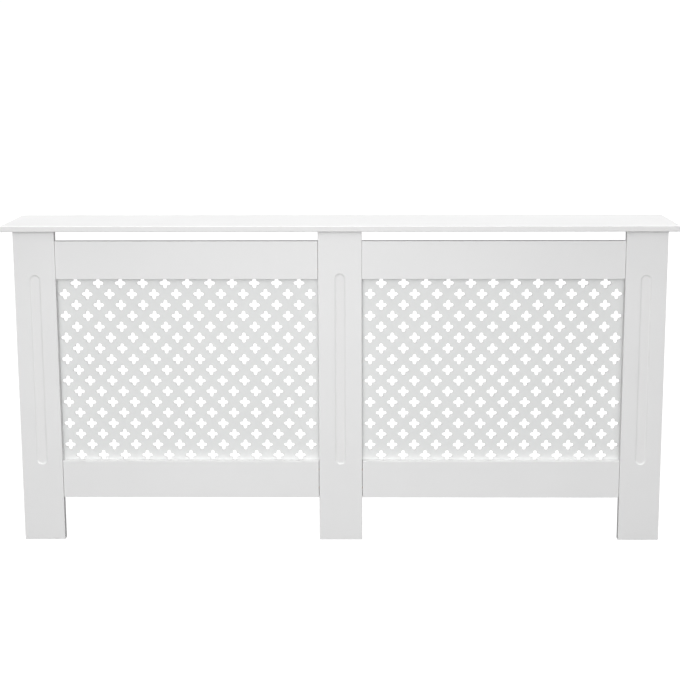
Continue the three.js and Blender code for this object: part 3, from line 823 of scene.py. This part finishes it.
def cam(name, node, s, y, z, toward):
    """Die-cast cam: eased rim, cross recess, pointer, and a pocket for the bolt's head."""
    at = (s * X_SIDE, y, z)
    axis = (s, 0, 0)
    prof = [(4.9, 0.0), (5.5, 0.0), (5.75, 0.28), (6.15, 0.28), (6.4, 0.0), (6.85, 0.0), (7.1, 0.12), (7.2, 0.4),
            (7.2, 2.2), (7.05, 2.35), (7.05, CAM_L - 0.6), (6.5, CAM_L)]
    b = Build(frame_for(axis), at)
    lathe(b, [(r, w, 0, 0) for r, w in prof], 64)
    me = to_mesh(name, b, False)
    o = piece(name, me, ZINC, "zinc_cam", node)
    dy, dz = toward
    def box(xa, xb, a0, a1, half):
        ya, yb = (dy * a0, dy * a1) if dy else (-half, half)
        za, zb = (dz * a0, dz * a1) if dz else (-half, half)
        lo = (min(s * xa, s * xb), min(ya, yb), min(za, zb))
        hi = (max(s * xa, s * xb), max(ya, yb), max(za, zb))
        return block_mesh(np.add(at, lo), np.add(at, hi))
    cutters = [cross_cutter(at, axis, 4.4, 0.85, 1.9, 0.8), box(3.4, CAM_L + 1, -3.0, CAM_R + 1, 4.0)]
    # pointer, a shallow arrowhead on the face that shows the bolt's side
    t = Build()
    tip, base = 5.4, 4.75
    pts = [(tip, 0.0), (base, 0.62), (base, -0.62)]
    low = []
    for depth in (-0.5, 0.22):
        low.append([t.v((at[0] + s * depth, at[1] + (dy * a if dy else c), at[2] + (dz * a if dz else c))) for a, c in pts])
    t.bridge(low[0], low[1])
    t.faces.append(tuple(low[0]))
    t.faces.append(tuple(low[1]))
    cutters.append(to_mesh("cutter", t, False))
    carve(o, cutters)
    return o


for side, s in (("left", -1), ("right", 1)):
    for where, y in zip(("front", "back"), SHELF_CAM_Y):
        cam(f"cam_shelf_{side}_{where}", f"cam_lock_shelf_{side}_{where}", s, y, Z_SHELF - CAM_SETBACK, (0, 1))
        cam_bolt(f"bolt_shelf_{side}_{where}", f"cam_bolt_shelf_{side}_{where}", (s * X_BOLT, y, Z_SHELF), (0, 0, 1))
    for where, z in zip(("lower", "upper"), SIDE_CAM_Z):
        cam(f"cam_leg_{side}_{where}", f"cam_lock_leg_{side}_{where}", s, Y_LEG_BACK + CAM_SETBACK, z, (-1, 0))
        cam_bolt(f"bolt_leg_{side}_{where}", f"cam_bolt_leg_{side}_{where}", (s * X_BOLT, Y_LEG_BACK, z), (0, -1, 0))


# angle brackets: a flat blank with rounded corners and two holes, then bent
def angle_bracket(name, node, at, turn):
    bend, t = 2.7, 2.0
    flat_leg = 30.0 - bend
    curve = bend * math.pi / 2
    total = 2 * flat_leg + curve
    steps = 8
    stations = [flat_leg + curve * k / steps for k in range(steps + 1)]
    corners = rounded([(-9, 0), (9, 0), (9, total), (-9, total)], 3.0, 6)
    # the right edge runs up from the second corner, the left edge down to the first
    out = [*corners[:14], *[(9.0, v, 1.0, 0.0) for v in stations], *corners[14:], *[(-9.0, v, -1.0, 0.0) for v in reversed(stations)]]
    lines = []
    base_r, base_l = 14, 14 + len(stations) + 14
    for k in range(len(stations)):
        lines.append((base_r + k, base_l + len(stations) - 1 - k))
    b = Build()
    holes = [round_hole(0, v, 2.2, 28) for v in (12.0, flat_leg + curve + BRACKET_HOLE - bend)]
    plate(b, out, t, 0.25, 1, holes=holes, hole_r=0.25, lines=lines)
    co, no = [], []
    c = 1 if turn else -1
    for p, n in zip(b.co, b.no):
        u, v, w = p
        if v <= flat_leg:
            y, z, e = 30.0 - v, -w, (-1.0, 0.0, 0.0, -1.0)
        elif v < flat_leg + curve:
            f = (v - flat_leg) / bend
            y, z = bend - (bend - w) * math.sin(f), -bend + (bend - w) * math.cos(f)
            e = (-math.cos(f), -math.sin(f), math.sin(f), -math.cos(f))
        else:
            y, z, e = w, -bend - (v - flat_leg - curve), (0.0, -1.0, 1.0, 0.0)
        ny, nz = n[1] * e[0] + n[2] * e[2], n[1] * e[1] + n[2] * e[3]
        co.append(np.array(at) + np.array([c * -u, c * -y, z]))
        no.append(np.array([c * -n[0], c * -ny, nz]))
    b.co, b.no = co, no
    return piece(name, to_mesh(name, b), STEEL, "plated_steel", node)


angle_bracket("bracket_centre", "centre_bracket", (0, Y_LEG_BACK, Z_SHELF), False)
screw("screw_bracket_centre_leg", "centre_bracket_leg_screw", (0, Y_LEG_BACK + 2, Z_SHELF - BRACKET_HOLE), (0, -1, 0))
screw("screw_bracket_centre_shelf", "centre_bracket_shelf_screw", (0, Y_LEG_BACK + BRACKET_HOLE, Z_SHELF - 2), (0, 0, 1))
for side, s in (("left", -1), ("right", 1)):
    angle_bracket(f"bracket_wall_{side}", f"wall_bracket_{side}", (s * WALL_BRACKET_X, Y_WALL, Z_SHELF), True)
    screw(f"screw_bracket_wall_{side}", f"wall_bracket_screw_{side}", (s * WALL_BRACKET_X, Y_WALL - BRACKET_HOLE, Z_SHELF - 2), (0, 0, 1))

# --------------------------------------------------------------------- stage
scene = bpy.context.scene

fb = Build()
ids = [fb.v(p) for p in ((-30000, -30000, -0.1), (30000, -30000, -0.1), (30000, 30000, -0.1), (-30000, 30000, -0.1))]
fb.faces.append(tuple(ids))
floor_mesh = bpy.data.meshes.new("floor")
floor_mesh.from_pydata((np.array(fb.co) * MM).tolist(), [], [list(f) for f in fb.faces])
floor = bpy.data.objects.new("floor", floor_mesh)
scene.collection.objects.link(floor)
fm = bpy.data.materials.new("floor_white")
g = Nodes(fm)
# pale floor: it shows plain white, and passes on only a little of the light it gets
path = g.add("ShaderNodeLightPath")
matt = g.add("ShaderNodeBsdfDiffuse")
matt.inputs["Color"].default_value = (0.10, 0.10, 0.10, 1)
plain = g.add("ShaderNodeEmission")
plain.inputs["Color"].default_value = (1, 1, 1, 1)
plain.inputs["Strength"].default_value = 1.15
pick = g.add("ShaderNodeMixShader")
g.put(pick.inputs[0], path.outputs["Is Camera Ray"])
g.put(pick.inputs[1], matt.outputs[0])
g.put(pick.inputs[2], plain.outputs[0])
g.put(g.add("ShaderNodeOutputMaterial").inputs["Surface"], pick.outputs[0])
fm.cycles.emission_sampling = "NONE"
floor_mesh.materials.append(fm)

# studio light: a small source and a broad one overhead, wide ones in front from the
# horizon up to about 60 degrees, and a weaker one behind; it shows white
world = bpy.data.worlds.new("studio")
scene.world = world
world.use_nodes = True
w = Nodes(world)
coord = w.add("ShaderNodeTexCoord")
_, dy, dz = w.parts(coord.outputs["Generated"])
rise = w.math("MAXIMUM", dz, 0.0)
level = w.math("SUBTRACT", 1.0, rise)
fore = w.math("MAXIMUM", w.math("MULTIPLY", dy, -1.0), 0.0)
aft = w.math("MAXIMUM", dy, 0.0)
lean = w.math("MULTIPLY_ADD", dy, -0.0175, w.math("MULTIPLY", dz, 0.9998))
high = w.math("POWER", w.math("MAXIMUM", lean, 0.0), 80.0)
low_front = w.math("MULTIPLY", w.math("POWER", fore, 8.0), w.math("POWER", level, 4.0))
mid_front = w.math("MULTIPLY", w.math("MULTIPLY", w.math("POWER", fore, 2.0), rise), level)
mid_back = w.math("MULTIPLY", w.math("MULTIPLY", w.math("POWER", aft, 2.0), rise), level)
power = w.math("MULTIPLY", high, 26.0)
power = w.math("MULTIPLY_ADD", w.math("POWER", rise, 4.0), 0.8, power)
power = w.math("MULTIPLY_ADD", low_front, 3.4, power)
power = w.math("MULTIPLY_ADD", mid_front, 7.9, power)
power = w.math("MULTIPLY_ADD", mid_back, 4.2, power)
# nothing comes from below the horizon
power = w.math("MULTIPLY", power, w.math("GREATER_THAN", dz, 0.0))
soft = w.add("ShaderNodeBackground")
soft.inputs["Color"].default_value = (1, 1, 1, 1)
w.put(soft.inputs["Strength"], power)
white = w.add("ShaderNodeBackground")
white.inputs["Color"].default_value = (1, 1, 1, 1)
white.inputs["Strength"].default_value = 1.03
both = w.add("ShaderNodeMixShader")
w.put(both.inputs[0], w.add("ShaderNodeLightPath").outputs["Is Camera Ray"])
w.put(both.inputs[1], soft.outputs[0])
w.put(both.inputs[2], white.outputs[0])
w.put(w.add("ShaderNodeOutputWorld").inputs["Surface"], both.outputs[0])


def area(name, at, aim, size, watts):
    light = bpy.data.lights.new(name, "AREA")
    light.shape, light.size, light.size_y, light.energy = "RECTANGLE", size[0], size[1], watts
    o = bpy.data.objects.new(name, light)
    o.location = at
    o.rotation_mode = "QUATERNION"
    o.rotation_quaternion = (Vector(aim) - Vector(at)).to_track_quat("-Z", "Y")
    o.visible_camera = False
    scene.collection.objects.link(o)
    return o


area("key_low", (-0.20, -2.72, 0.60), (-0.20, 0.0, 0.60), (1.6, 0.8), 16.0)
area("key_high", (-0.20, -2.62, 1.57), (-0.20, 0.0, 0.70), (1.6, 0.6), 11.0)
# fills for the back and the two ends, behind the line of the legs
area("fill_back", (0.0, 6.0, 0.48), (0.0, 0.0, 0.48), (2.2, 0.6), 165.0).visible_glossy = False
for side, s in (("left", -1), ("right", 1)):
    area(f"fill_{side}", (s * 2.2, 0.16, 0.55), (s * 0.834, 0.0, 0.42), (0.34, 0.9), 9.0)

# -------------------------------------------------------------------- camera
F_PX, CX, CY = 1100.0, 356.75, 194.0
TILT, YAW, ROLL = 0.13234, -0.00882, -0.00234
ct, st, cp, sp = math.cos(TILT), math.sin(TILT), math.cos(YAW), math.sin(YAW)
ahead = Vector((sp * ct, cp * ct, -st))
right = Vector((cp, -sp, 0.0))
up = right.cross(ahead)
r2 = right * math.cos(ROLL) + up * math.sin(ROLL)
u2 = up * math.cos(ROLL) - right * math.sin(ROLL)
cam_data = bpy.data.cameras.new("camera")
cam_data.sensor_fit = "HORIZONTAL"
cam_data.sensor_width = 36.0
cam_data.lens = F_PX / 680 * 36.0
cam_data.shift_x = (340 - CX) / 680
cam_data.shift_y = (CY - 340) / 680
cam_data.clip_start, cam_data.clip_end = 0.05, 200.0
camera = bpy.data.objects.new("camera", cam_data)
camera.matrix_world = Matrix(((r2.x, u2.x, -ahead.x, 0.068), (r2.y, u2.y, -ahead.y, -2.832), (r2.z, u2.z, -ahead.z, 1.286), (0, 0, 0, 1)))
scene.collection.objects.link(camera)
scene.camera = camera

scene.view_settings.view_transform = "Standard"
scene.view_settings.look = "None"
scene.view_settings.exposure = 0.0
scene.view_settings.gamma = 1.0
